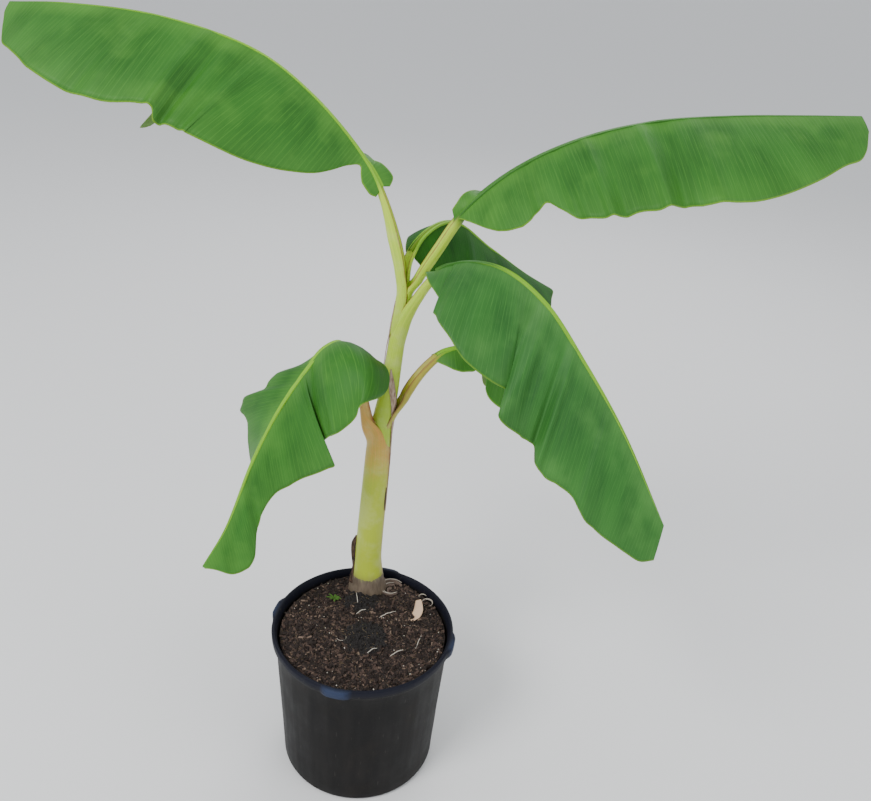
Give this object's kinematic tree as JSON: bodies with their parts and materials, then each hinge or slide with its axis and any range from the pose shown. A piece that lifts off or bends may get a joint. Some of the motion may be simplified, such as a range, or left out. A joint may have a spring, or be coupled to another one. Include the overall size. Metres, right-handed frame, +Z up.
{
  "type": "potted banana plant",
  "caption": "Young banana plant in a round black nursery pot: a leaning pseudostem of wrapped sheaths, channelled petioles and broad drooping leaves with pleated halves.",
  "frame": {"origin": "middle of the pot's flat underside, on the surface it stands on", "axes": "+Z up along the pot's axis, +X to the right and -Y towards the viewer of the picture"},
  "size_m": [1.1039, 0.5805, 1.1011],
  "materials": {
    "pot": "satin",
    "soil": "matte",
    "stem": "satin",
    "petiole": "satin",
    "leaf": "satin"
  },
  "bodies": {
    "root": {"pot": "pot", "soil": "soil", "pseudostem": "stem", "petiole_left": "petiole", "petiole_right": "petiole", "petiole_front_right": "petiole", "petiole_front_left": "petiole", "petiole_back": "petiole", "petiole_small": "petiole", "blade_left": "leaf", "blade_right": "leaf", "blade_front_right_inner": "leaf", "blade_front_right_outer": "leaf", "blade_front_left_inner": "leaf", "blade_front_left_outer": "leaf", "blade_back_inner": "leaf", "blade_back_outer": "leaf", "blade_small": "leaf"}
  },
  "joints": []
}
